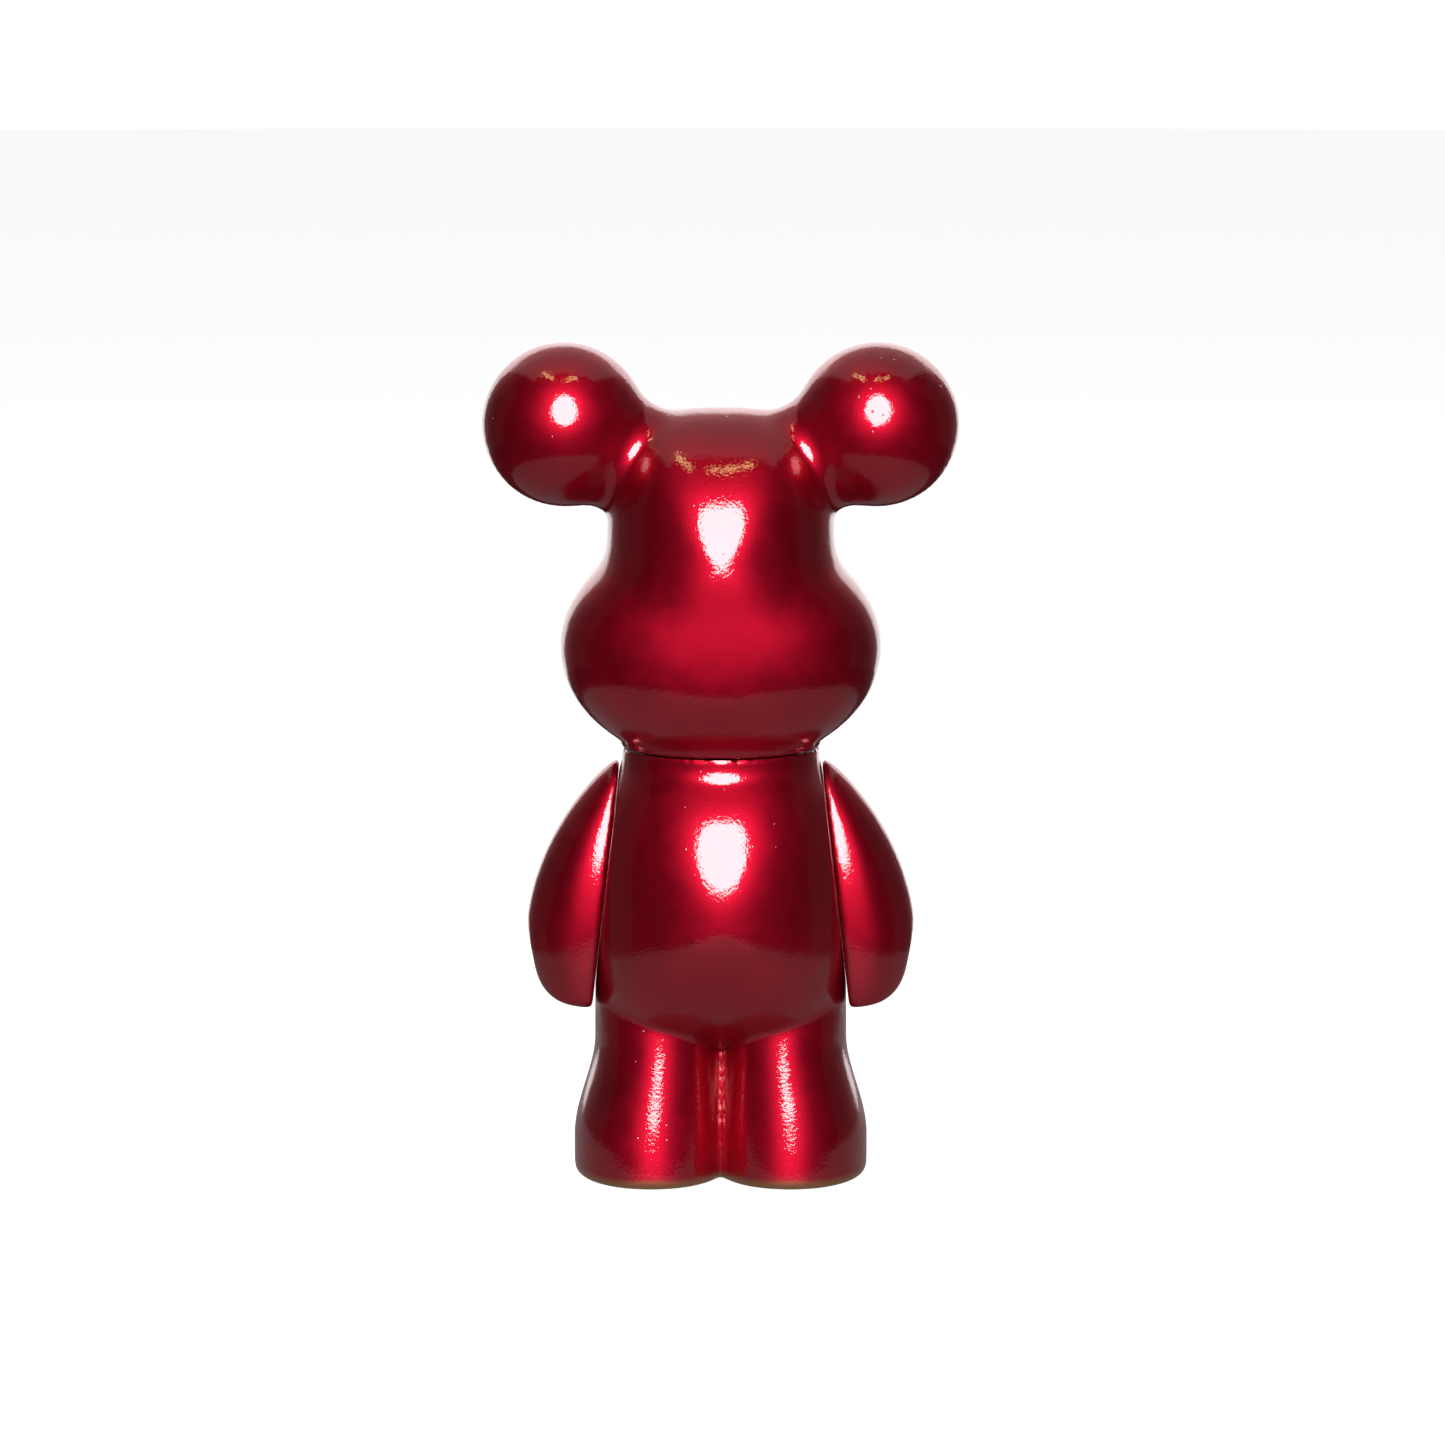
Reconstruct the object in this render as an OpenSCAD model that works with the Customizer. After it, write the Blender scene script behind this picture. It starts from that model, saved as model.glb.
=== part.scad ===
// Articulated bear figure: hollow cast shells, turning head, swinging arms.
// The figure stands on Z = 0 and faces -Y; its own left hand is on +X.

/* [Head] */
// Half width of the forehead
forehead_half_w = 38.2; // [30:0.1:42]
// Half depth of the forehead
forehead_half_d = 45.5; // [34:0.5:50]
// How much the forehead's depth shrinks towards the crown, as a share for each millimetre
crown_taper = 0.0022; // [0:0.0001:0.004]
// Half height of the forehead block
forehead_half_h = 48.5; // [44:0.5:54]
// Half width across the cheeks
cheek_half_w = 53.9; // [45:0.1:64]
// Half depth of the head at the cheeks
cheek_half_d = 45.8; // [40:0.1:56]
// Half height of the cheek bulge
cheek_half_h = 40; // [36:0.5:46]
// Height of the cheeks' middle above the neck seam
cheek_rise = 34; // [30:0.5:38]
// Height of the forehead block's middle above the neck seam
forehead_rise = 65; // [60:0.5:76]
// Half width of the muzzle
muzzle_half_w = 21; // [15:0.5:26]
// How far the muzzle's middle lies in front of the axis
muzzle_forward = 40; // [36:0.5:46]

/* [Ears] */
// Radius of an ear ball
ear_r = 27.4; // [20:0.1:33]
// Radius of the ear's stalk where it meets the head
ear_stalk_r = 19.5; // [14:0.1:22]
// Distance from the ear seat to the ball's middle
ear_reach = 23.7; // [20:0.1:28]
// Sideways place of the ear seat's middle
ear_seat_x = 30.9; // [27:0.1:34]
// Height of the ear seat's middle above the neck seam
ear_seat_rise = 97; // [92:0.5:102]
// Lift of the ear's axis above level
ear_tilt = 27; // [15:1:40]

/* [Body] */
// Height of the neck seam above the floor
neck_seam_z = 144; // [136:0.5:164]
// Half width of the belly
belly_half_w = 44; // [36:0.1:54]
// Half depth of the belly
belly_half_d = 50.5; // [41:0.5:60]
// Height of the belly above its widest level
belly_up = 60; // [54:0.5:66]
// Depth of the belly below its widest level
belly_down = 50; // [44:0.5:56]
// Drop from the neck seam to the belly's widest level
belly_drop = 52; // [48:0.5:58]

/* [Legs] */
// Sideways place of a leg's middle
leg_x = 20.6; // [19:0.1:24]
// Half width of one leg
leg_half_w = 21.6; // [20:0.1:25]
// Half depth of one leg at the hip
leg_half_d = 29; // [26:0.5:36]
// How far the foot widens on each side
foot_flare = 4.5; // [2:0.5:7]
// How far the foot's middle moves outwards
foot_spread = 2.5; // [0:0.5:4]
// Height at which the foot begins to widen
foot_top_z = 46; // [38:0.5:52]
// How far the leg deepens from hip to floor, front and back
calf_flare = 10; // [4:0.5:13]

/* [Arms] */
// Drop from the neck seam to the shoulder pivot
shoulder_drop = 26; // [22:0.5:30]
// Drop from the neck seam to the hand's underside
hand_drop = 87.2; // [82:0.1:92]
// How far the arm's inner face at hand height lies inside the belly's widest point
arm_inset = 1; // [-1:0.1:3]
// Lean of the arm's inner face from upright
arm_lean = 6.5; // [3:0.5:9]
// Half depth of the arm
arm_half_d = 20.5; // [16:0.5:23]
// Width of the hand from the arm's inner face
hand_w = 20.5; // [17:0.1:25]
// Width of the arm at its elbow, from the inner face
elbow_w = 22.4; // [19:0.1:26]
// Radius of the hollow at the middle of the arm
core_mid_r = 9.5; // [6:0.1:10.5]

/* [Walls and fits] */
// Wall of the body and head shells
wall = 3; // [2:0.1:4]
// Wall of the arms and ears
thin_wall = 2.5; // [2:0.1:3]
// Gap between pieces that move past each other
joint_gap = 0.3; // [0.2:0.05:0.6]
// Radial clearance of a turning fit
running_gap = 0.05; // [0.02:0.01:0.1]
// Radial clearance of a glued or screwed fit
seat_gap = 0.05; // [0.02:0.01:0.15]

/* [Neck joint] */
// Radius of the hub that the head turns on
hub_r = 24; // [18:0.1:29]
// Length of the hub above the neck seam
hub_h = 14; // [13:0.5:20]
// Width of the neck's land outside the hub
neck_land = 9.4; // [8.5:0.1:12]
// Wall of the bearing cup
cup_wall = 3; // [2.5:0.1:4]
// Height of the bearing cup above the neck seam
cup_h = 9.5; // [8:0.1:10]
// Thickness of the snap ring
snap_ring_t = 1.5; // [1:0.1:2]

/* [Shoulder joint] */
// Radius of the shoulder pin
pin_r = 4; // [3:0.1:5]
// Width of the plug's shoulder round the pin
plug_land = 4; // [2:0.1:5]
// Wall of the bush in the body
bush_wall = 3; // [2:0.1:4]
// Length of the bush
bush_l = 9; // [6:0.1:12]

/* [Base] */
// Thickness of the rubber sole pad
pad_t = 1.6; // [1:0.1:3]
// How far the sole pad's edge stands back from the shell's inner wall
pad_inset = 1.5; // [0.5:0.1:5]
// Thickness of the base plate
plate_t = 3; // [2.5:0.1:5]
// Height of the shell's rim above the floor
rim_z = 0.8; // [0.4:0.1:0.9]
// Radius of the base screws' shanks
screw_r = 1.4; // [1:0.1:1.8]
// Length of the base screws
screw_l = 12; // [8:0.5:16]

/* [Face] */
// Radius of the nose button
nose_r = 8; // [5:0.1:9]
// Radius of an eye button
eye_r = 4; // [3:0.1:5]
// Height of the eyes above the neck seam
eye_rise = 56; // [50:0.5:62]
// Turn of each eye away from the face's middle
eye_angle = 25; // [18:1:32]

/* [Hidden] */
$fn = 64;
SIDES = 48;              // points round a shell's ring
ARM_SIDES = 32;          // points round an arm's ring
SEARCH_STEPS = 20;       // halvings in the search for a surface
SEARCH_R = 100;          // the farthest that a surface can lie from its axis
lacquer = [0.62, 0.02, 0.09];
moulded = [0.16, 0.15, 0.16];
steel = [0.72, 0.72, 0.74];
rubber = [0.12, 0.12, 0.13];

// Powers of the rounded forms, from the front and in depth: 2 is an ellipse, more is squarer
forehead_n = [2.9, 2];
cheek_n = [2, 2.45];
muzzle_n = [2.2, 2.2];
upper_belly_n = [2.5, 2];
lower_belly_n = [3.5, 2];
leg_n = 2.15;
arm_n = [1.8, 1.8];
hand_n = [4, 4];

// Softness of the blends
head_blend = 2.5;
muzzle_blend = 2;
neck_blend = 1.2;
leg_blend = 1.2;
hip_blend = 0.5;
side_blend = 0.4;
edge_blend = 1;
arm_blend = 2;

head_low_z = neck_seam_z + joint_gap / 2;
body_top_z = neck_seam_z - joint_gap / 2;
head_top_z = neck_seam_z + forehead_rise + forehead_half_h;
plate_z = pad_t;
plate_top_z = plate_z + plate_t;
belly_z = neck_seam_z - belly_drop;
neck_r = hub_r + neck_land;
head_opening_r = hub_r + cup_wall;
bush_r = pin_r + bush_wall;
arm_opening_r = pin_r + plug_land;
web_r = leg_half_d / 4;  // the hollow stays at least this wide where the legs run together
collar_h = 12;           // height of the head's collar
foot_low_z = 12;         // level below which the foot is as wide as it gets
calf_top_z = belly_z - 22;
calf_low_z = -10;
shoulder_z = neck_seam_z - shoulder_drop;
hand_low_z = neck_seam_z - hand_drop;
hand_half_h = 18.2;
hand_mid_z = hand_low_z + hand_half_h;
arm_face_x = belly_half_w - arm_inset;
hand_mid_x = arm_face_x - 13;
hand_splay = 0.21;       // how far the hand leans outwards for each millimetre of height
arm_arc_back = 53.4;     // from the arm's flat face in to the middle of its big arc
arm_arc_x = arm_face_x - arm_arc_back;
arm_arc_half_w = arm_arc_back + elbow_w;
arm_arc_half_h = 80;
arm_arc_z = neck_seam_z - 64;
arm_mid_z = neck_seam_z - 60;
arm_half_h = 57.5;
release_z = hand_low_z - 6;  // level below which the body's sides needn't clear the arms
core_low_r = core_mid_r - 2.5;
core_top_r = core_mid_r - 4;
shoulder_x = arm_face_x - (shoulder_z - hand_low_z) * tan(arm_lean);
nose_sink = 2.2;         // how deep a button's base sits in its pocket
eye_sink = 1;
nose_dome = 3.6;         // how far a button stands out of the head
eye_dome = 2.2;
button_peg_l = 5;
spigot_r = 12;           // radius of the ears' spigots
bush_flange_t = 2;
pin_groove_z = -bush_l - bush_flange_t - 2 * joint_gap;  // where the clip's groove begins on a shoulder pin
clip_t = 1;
ear_seat_z = neck_seam_z + ear_seat_rise;

// ---- Rounded forms. A form is a function of a point: below 0 inside, 0 on the surface. ----

// A squarish ellipsoid about a centre, with one power for its outline and one for its depth
function egg(p, centre, r, n) =
    let (d = p - centre,
         outline = pow(pow(abs(d.x / r.x), n[0]) + pow(abs(d.z / r.z), n[0]), n[1] / n[0]),
         k = pow(outline + pow(abs(d.y / r.y), n[1]), 1 / n[1]))
    k < 0.001 ? -min(r) : norm(d) * (1 - 1 / k);

// An upright column of the same section
function column(p, x, rx, ry, n) =
    let (d = [p.x - x, p.y],
         k = pow(pow(abs(d.x / rx), n) + pow(abs(d.y / ry), n), 1 / n))
    k < 0.001 ? -min(rx, ry) : norm(d) * (1 - 1 / k);

// Soft union and soft intersection of two forms
function join(a, b, soft) = min(a, b) - soft * ln(1 + exp(-abs(a - b) / soft));
function trim(a, b, soft) = -join(-a, -b, soft);

function neck_column(p) = norm([p.x, p.y]) - neck_r;

// The flat side that an arm lies against, seen from either side of the figure
function arm_side(p) =
    (abs(p.x) - shoulder_x) * cos(arm_lean) + (p.z - shoulder_z) * sin(arm_lean);

head_form = function (p)
    let (forehead_z = neck_seam_z + forehead_rise,
         narrowed = [p.x, p.y / (1 - crown_taper * (p.z - forehead_z)), p.z],
         forehead = egg(narrowed, [0, 0, forehead_z],
             [forehead_half_w, forehead_half_d, forehead_half_h], forehead_n),
         cheeks = egg(p, [0, 0, neck_seam_z + cheek_rise], [cheek_half_w, cheek_half_d, cheek_half_h], cheek_n),
         muzzle = egg(p, [0, -muzzle_forward, neck_seam_z + cheek_rise - 4],
             [muzzle_half_w, muzzle_half_w - 2, muzzle_half_w - 4], muzzle_n),
         collar = max(neck_column(p), p.z - neck_seam_z - collar_h))
    join(join(join(forehead, cheeks, head_blend), muzzle, muzzle_blend), collar, neck_blend);

// A share that grows smoothly from 0 at a top height to 1 at a low one
function eased(z, top, low) =
    let (t = max(0, min(1, (top - z) / (top - low)))) t * t * (3 - 2 * t);

function leg(p, side) =
    let (foot = eased(p.z, foot_top_z, foot_low_z))
    column(p, side * (leg_x + foot_spread * foot), leg_half_w + foot_flare * foot,
        leg_half_d + calf_flare * eased(p.z, calf_top_z, calf_low_z), leg_n);

// The body as it is hollowed, running straight down through the floor
body_core = function (p)
    let (belly = p.z < belly_z
             ? egg(p, [0, 0, belly_z], [belly_half_w, belly_half_d, belly_down], lower_belly_n)
             : egg(p, [0, 0, belly_z], [belly_half_w, belly_half_d, belly_up], upper_belly_n),
         neck = max(neck_column(p), belly_z - p.z),
         both_legs = max(join(leg(p, 1), leg(p, -1), leg_blend), p.z - belly_z),
         clear_side = arm_side(p) + joint_gap - max(0, release_z - p.z) / 2)
    trim(join(join(belly, neck, neck_blend), both_legs, hip_blend), clear_side, side_blend);

// The body with its rounded lower edge
body_form = function (p) trim(body_core(p), rim_z - 0.6 - p.z, edge_blend);

// The arm: a big arc for its outline, a squarish hand, and an oval seen from the side,
// cut off flat where it lies against the body
arm_form = function (p)
    let (arc = egg(p, [arm_arc_x, 0, arm_arc_z], [arm_arc_half_w, 2 * arm_half_d, arm_arc_half_h], arm_n),
         lean = hand_splay * (p.z - hand_mid_z),
         hand = egg([p.x - lean, p.y, min(p.z, hand_mid_z)], [hand_mid_x, 0, hand_mid_z],
             [arm_face_x + hand_w - hand_mid_x, 1.6 * arm_half_d, hand_half_h], hand_n),
         oval = egg([0, p.y, p.z], [0, 0, arm_mid_z], [1, arm_half_d, arm_half_h], [2, 2]),
         bounded = trim(trim(arc, hand, edge_blend / 2), oval, arm_blend))
    trim(bounded, -arm_side(p), edge_blend);

// Distance from an upright axis at x0 to the surface of a form, by halving
function reach(form, x0, z, angle, level, low = 0, high = SEARCH_R, steps = SEARCH_STEPS) =
    steps == 0 ? (low + high) / 2 :
    let (mid = (low + high) / 2)
    form([x0 + mid * cos(angle), mid * sin(angle), z]) < level
        ? reach(form, x0, z, angle, level, mid, high, steps - 1)
        : reach(form, x0, z, angle, level, low, mid, steps - 1);

// One level ring on a form's surface, or on the surface a wall's thickness inside it
function ring(form, z, level, x0 = 0, sides = SIDES) = [for (i = [0 : sides - 1])
    let (a = 360 * i / sides, r = reach(form, x0, z, a, level)) [x0 + r * cos(a), r * sin(a), z]];

// A ring of the body's hollow
function hollow_ring(z, level) = [for (p = ring(body_core, z, level))
    let (wider = max(1, web_r / norm([p.x, p.y]))) [p.x * wider, p.y * wider, z]];

function round_ring(r, z) = [for (i = [0 : SIDES - 1])
    let (a = 360 * i / SIDES) [r * cos(a), r * sin(a), z]];

// Heights that crowd towards both ends, where a form curves most
function heights(low, high, count) = [for (i = [0 : count]) low + (high - low) * (1 - cos(180 * i / count)) / 2];

function reversed(list) = [for (i = [len(list) - 1 : -1 : 0]) list[i]];

function band(i, j, sides) = [for (k = [0 : sides - 1])
    let (a = i * sides + k, b = i * sides + (k + 1) % sides, c = j * sides + k, d = j * sides + (k + 1) % sides)
    each [[a, c, b], [b, c, d]]];

// A skin through rings that close into a loop, such as a shell open at both ends
module ring_loop(rings) {
    sides = len(rings[0]);
    count = len(rings);
    polyhedron(points = [for (r = rings) each r],
        faces = [for (i = [0 : count - 1]) each band(i, (i + 1) % count, sides)]);
}

// A skin through rings with a point at each end
module capped_rings(start, rings, end) {
    sides = len(rings[0]);
    count = len(rings);
    first = sides * count;
    polyhedron(points = concat([for (r = rings) each r], [start, end]),
        faces = concat([for (i = [0 : count - 2]) each band(i, i + 1, sides)],
            [for (k = [0 : sides - 1]) [k, (k + 1) % sides, first]],
            [for (k = [0 : sides - 1]) [(count - 1) * sides + (k + 1) % sides, (count - 1) * sides + k, first + 1]]));
}

// ---- Frames of the joints and seats ----

// Along the shoulder axis: Z = 0 on the arm's inner face, +Z outwards
module at_shoulder(side) {
    mirror([side < 0 ? 1 : 0, 0, 0])
        translate([shoulder_x, 0, shoulder_z])
            rotate([0, 90 - arm_lean, 0]) children();
}

// Along the ear's axis: Z = 0 on the seat, +Z outwards
module at_ear(side) {
    mirror([side < 0 ? 1 : 0, 0, 0])
        translate([ear_seat_x, 0, ear_seat_z])
            rotate([0, 90 - ear_tilt, 0]) children();
}

// On the head's surface at a height and a turn from the face's middle: +Z outwards
module at_face(rise, turn) {
    z = neck_seam_z + rise;
    translate([0, 0, z]) rotate([0, 0, turn - 90])
        translate([reach(head_form, 0, z, turn - 90, 0), 0, 0]) rotate([0, 90, 0]) children();
}

module at_base_screws() {
    for (a = [35, 145, 215, 325])
        rotate([0, 0, a]) translate([reach(body_core, 0, 10, a, -wall) - 3.5, 0, 0]) children();
}

module tube(r_out, r_in, low, high) {
    translate([0, 0, low]) difference() {
        cylinder(r = r_out, h = high - low);
        translate([0, 0, -1]) cylinder(r = r_in, h = high - low + 2);
    }
}

// ---- Body ----

// Hollow casting of the torso and both legs, open under the feet and at the neck
module body_shell() {
    lip_z = body_top_z - wall;
    outer = [for (z = concat([rim_z], heights(rim_z + 0.7, body_top_z, 32))) ring(body_form, z, 0)];
    inner = [for (z = heights(rim_z, lip_z, 13)) hollow_ring(z, -wall)];
    boss_r = bush_r + 4;
    screw_boss_r = screw_r + 3;
    color(lacquer) difference() {
        union() {
            ring_loop(concat(outer, [round_ring(hub_r, body_top_z), round_ring(hub_r, lip_z)], reversed(inner)));
            for (side = [-1, 1])
                at_shoulder(side) translate([0, 0, -joint_gap - bush_l]) cylinder(r = boss_r, h = bush_l);
            at_base_screws() translate([0, 0, plate_top_z]) cylinder(r = screw_boss_r, h = screw_l);
        }
        for (side = [-1, 1])
            at_shoulder(side) translate([0, 0, -bush_l - 3]) cylinder(r = bush_r + seat_gap, h = bush_l + 6);
        at_base_screws() translate([0, 0, plate_top_z - 1]) cylinder(r = screw_r, h = screw_l - 1);
    }
}

// Hub that stands up through the neck and carries the head
module neck_spool() {
    flange_r = hub_r + 5;
    bore_r = hub_r - 7;
    lip_z = body_top_z - wall;
    groove_z = neck_seam_z + cup_h + joint_gap;
    shank_r = hub_r - running_gap;
    color(moulded) rotate_extrude() polygon([
        [bore_r, lip_z - 3], [flange_r, lip_z - 3], [flange_r, lip_z],
        [shank_r, lip_z], [shank_r, groove_z],
        [shank_r - 2, groove_z], [shank_r - 2, groove_z + snap_ring_t],
        [shank_r, groove_z + snap_ring_t], [shank_r, neck_seam_z + hub_h - 1],
        [shank_r - 1, neck_seam_z + hub_h], [bore_r, neck_seam_z + hub_h]]);
}

// Split spring ring in the hub's groove, over the bearing cup
module neck_snap_ring() {
    low = neck_seam_z + cup_h + joint_gap;
    color(steel) difference() {
        tube(hub_r + 2, hub_r - running_gap - 2, low, low + snap_ring_t);
        translate([0, -3, low - 1]) cube([hub_r + 3, 6, snap_ring_t + 2]);
    }
}

// Flanged bush that the shoulder pin turns in
module shoulder_bush(side) {
    color(moulded) at_shoulder(side) difference() {
        union() {
            translate([0, 0, -joint_gap - bush_l]) cylinder(r = bush_r, h = bush_l);
            translate([0, 0, -joint_gap - bush_l - bush_flange_t]) cylinder(r = bush_r + 2.5, h = bush_flange_t);
        }
        translate([0, 0, -bush_l - 5]) cylinder(r = pin_r + running_gap, h = bush_l + 6);
    }
}

// Plate that closes the casting under the feet
module base_plate() {
    outline = [for (p = hollow_ring(plate_z + 0.5, -wall - 0.3)) [p.x, p.y]];
    color(moulded) difference() {
        translate([0, 0, plate_z]) linear_extrude(plate_t) polygon(outline);
        at_base_screws() translate([0, 0, plate_z - 0.01])
            cylinder(r1 = 2 * screw_r + 0.1, r2 = screw_r + 0.1, h = screw_r + 0.01);
        at_base_screws() translate([0, 0, plate_z - 1]) cylinder(r = screw_r + 0.1, h = plate_t + 2);
    }
}

// Countersunk screws that hold the base plate
module base_screws() {
    slot_w = 0.8;
    color(steel) at_base_screws() translate([0, 0, plate_z]) difference() {
        union() {
            cylinder(r1 = 2 * screw_r, r2 = screw_r, h = screw_r);
            cylinder(r = screw_r - 0.02, h = screw_l);
        }
        translate([-2 * screw_r, -slot_w / 2, -1]) cube([4 * screw_r, slot_w, 1.5]);
    }
}

// Soft pad stuck under both feet, cut to their outline
module sole_pad() {
    outline = [for (p = hollow_ring(plate_z, -wall - pad_inset)) [p.x, p.y]];
    color(rubber) linear_extrude(pad_t) polygon(outline);
}

// ---- Head ----

// Hollow casting of the head and muzzle, open under the neck and at both ear seats
module head_shell() {
    lip_z = head_low_z + wall;
    outer_z = heights(head_low_z, head_top_z, 28);
    inner_z = heights(lip_z, head_top_z - wall, 14);
    outer = [for (i = [0 : len(outer_z) - 2]) ring(head_form, outer_z[i], 0)];
    inner = [for (i = [0 : len(inner_z) - 2]) ring(head_form, inner_z[i], -wall)];
    socket_r = spigot_r + seat_gap;
    color(lacquer) difference() {
        union() {
            capped_rings([0, 0, head_top_z - wall],
                concat(reversed(inner), [round_ring(head_opening_r, lip_z), round_ring(head_opening_r, head_low_z)],
                    outer), [0, 0, head_top_z]);
            for (side = [-1, 1])
                at_ear(side) translate([0, 0, -9]) cylinder(r = ear_stalk_r, h = 9);
        }
        for (side = [-1, 1]) {
            at_ear(side) cylinder(r = ear_stalk_r + seat_gap, h = ear_reach);
            at_ear(side) translate([0, 0, -20]) cylinder(r = socket_r, h = 21);
        }
        at_face(cheek_rise - 1, 0) button_pocket(nose_r, nose_sink);
        for (side = [-1, 1])
            at_face(eye_rise, side * eye_angle) button_pocket(eye_r, eye_sink);
    }
}

// Bearing cup glued into the head's opening; it turns on the hub
module neck_cup() {
    lip_z = head_low_z + wall;
    outer_r = head_opening_r - seat_gap;
    top_z = neck_seam_z + cup_h;
    color(moulded) rotate_extrude() polygon([
        [hub_r, head_low_z], [outer_r, head_low_z], [outer_r, lip_z],
        [outer_r + 3, lip_z], [outer_r + 3, lip_z + 2.5],
        [outer_r, lip_z + 2.5], [outer_r, top_z], [hub_r, top_z]]);
}

// Hollow ear ball with a short stalk and a spigot that fits the head
module ear(side) {
    stalk_top = ear_reach - sqrt(ear_r * ear_r - ear_stalk_r * ear_stalk_r);
    start = atan2(stalk_top - ear_reach, ear_stalk_r);
    in_r = ear_r - thin_wall;
    in_start = atan2(thin_wall + 1 - ear_reach, spigot_r + 3);
    steps = 24;
    outer = [for (i = [0 : steps]) let (a = start + (90 - start) * i / steps)
        [max(0, ear_r * cos(a)), ear_reach + ear_r * sin(a)]];
    inner = [for (i = [0 : steps]) let (a = 90 + (in_start - 90) * i / steps)
        [max(0, in_r * cos(a)), ear_reach + in_r * sin(a)]];
    color(lacquer) at_ear(side) rotate_extrude() polygon(concat(
        [[spigot_r - 2.5, -5], [spigot_r, -5], [spigot_r, 0], [ear_stalk_r, 0]],
        outer, inner, [[spigot_r - 2.5, thin_wall + 1]]));
}

// Round button on a peg, with straight sides in its pocket and a low dome above
module button(r, dome, sink) {
    ball_r = (r * r + dome * dome) / (2 * dome);
    rise = [for (i = [0 : 10]) let (a = asin(r / ball_r) * (1 - i / 10))
        [i == 10 ? 0 : ball_r * sin(a), dome - ball_r * (1 - cos(a))]];
    rotate_extrude() polygon(concat([[0, -sink - button_peg_l], [r / 2, -sink - button_peg_l], [r / 2, -sink], [r, -sink]], rise));
}

// Pocket and peg hole that a button is glued into
module button_pocket(r, sink) {
    translate([0, 0, -sink]) cylinder(r = r + seat_gap, h = sink + 3);
    translate([0, 0, -sink - button_peg_l - 4]) cylinder(r = r / 2 + seat_gap, h = button_peg_l + 5);
}

module nose() {
    color(lacquer) at_face(cheek_rise - 1, 0) button(nose_r, nose_dome, nose_sink);
}

module eye(side) {
    color(lacquer) at_face(eye_rise, side * eye_angle) button(eye_r, eye_dome, eye_sink);
}

// ---- Arms ----

function arm_face_at(z) = shoulder_x - (z - shoulder_z) * tan(arm_lean);

// Height of the arm's end a little outside its inner face, between one height inside and one beyond
function arm_end(inside, beyond, steps = SEARCH_STEPS) =
    steps == 0 ? inside :
    let (mid = (inside + beyond) / 2)
    arm_form([arm_face_at(mid) + 1.5, 0, mid]) < 0 ? arm_end(mid, beyond, steps - 1) : arm_end(inside, mid, steps - 1);

// Outer skin of the arm and hand, with rings that crowd towards the hand's underside
module arm_skin() {
    count = 24;
    low = arm_end(shoulder_z, hand_low_z - 5);
    high = arm_end(shoulder_z, neck_seam_z + 10);
    mid_x = function (z) arm_face_at(z) + (1 + reach(arm_form, arm_face_at(z) + 1, z, 0, 0)) / 2;
    zs = [for (i = [2 : count - 1]) low + (high - low) * (1 - cos(90 * i / count))];
    rings = [for (z = zs) ring(arm_form, z, 0, mid_x(z), ARM_SIDES)];
    capped_rings([mid_x(zs[0]), 0, low], rings, [arm_face_at(high) + 1.5, 0, high]);
}

// Round-ended hollow down the middle of the arm
module arm_core() {
    low = [arm_face_x + hand_w / 2 - 1.7, 0, hand_low_z + thin_wall + core_low_r];
    high = [shoulder_x + thin_wall + core_top_r, 0, shoulder_z + 2];
    lean = atan2(high.x - low.x, high.z - low.z);
    length = norm(high - low);
    translate(low) rotate([0, lean, 0]) {
        sphere(r = core_low_r);
        cylinder(r1 = core_low_r, r2 = core_mid_r, h = length / 2);
        translate([0, 0, length / 2]) cylinder(r1 = core_mid_r, r2 = core_top_r, h = length / 2);
        translate([0, 0, length]) sphere(r = core_top_r);
    }
}

// Hollow casting of one arm and its hand, open at the shoulder
module arm(side) {
    color(lacquer) difference() {
        mirror([side < 0 ? 1 : 0, 0, 0]) arm_skin();
        mirror([side < 0 ? 1 : 0, 0, 0]) arm_core();
        at_shoulder(side) translate([0, 0, -1]) cylinder(r = arm_opening_r, h = thin_wall + 3);
    }
}

// Plug glued into the arm's opening, in one piece with the shoulder pin
module shoulder_plug(side) {
    pin_end_z = pin_groove_z - 3;
    plug_r = arm_opening_r - seat_gap;
    color(moulded) at_shoulder(side) rotate_extrude() polygon([
        [0, pin_end_z], [pin_r - 0.6, pin_end_z], [pin_r, pin_end_z + 0.6],
        [pin_r, pin_groove_z - clip_t], [pin_r - 1, pin_groove_z - clip_t],
        [pin_r - 1, pin_groove_z], [pin_r, pin_groove_z],
        [pin_r, 0.2], [plug_r, 0.2], [plug_r, thin_wall], [0, thin_wall]]);
}

// Clip in the pin's groove, inside the body
module shoulder_clip(side) {
    color(steel) at_shoulder(side) difference() {
        tube(pin_r + 2.5, pin_r - 1, pin_groove_z - clip_t, pin_groove_z);
        translate([0, -pin_r + 1.4, pin_groove_z - 2 * clip_t]) cube([pin_r + 3, 2 * pin_r - 2.8, 3 * clip_t]);
    }
}

body_shell();
neck_spool();
neck_snap_ring();
shoulder_bush(1);  // shoulder_bush_left
shoulder_bush(-1);  // shoulder_bush_right
base_plate();
base_screws();
sole_pad();
head_shell();
neck_cup();
ear(1);  // ear_left
ear(-1);  // ear_right
nose();
eye(1);  // eye_left
eye(-1);  // eye_right
arm(1);  // arm_left
shoulder_plug(1);  // shoulder_plug_left
shoulder_clip(1);  // shoulder_clip_left
arm(-1);  // arm_right
shoulder_plug(-1);  // shoulder_plug_right
shoulder_clip(-1);  // shoulder_clip_right
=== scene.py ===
from math import cos, pi, radians, sin, tan

import bpy
import numpy as np
from mathutils import Matrix, Vector


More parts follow.
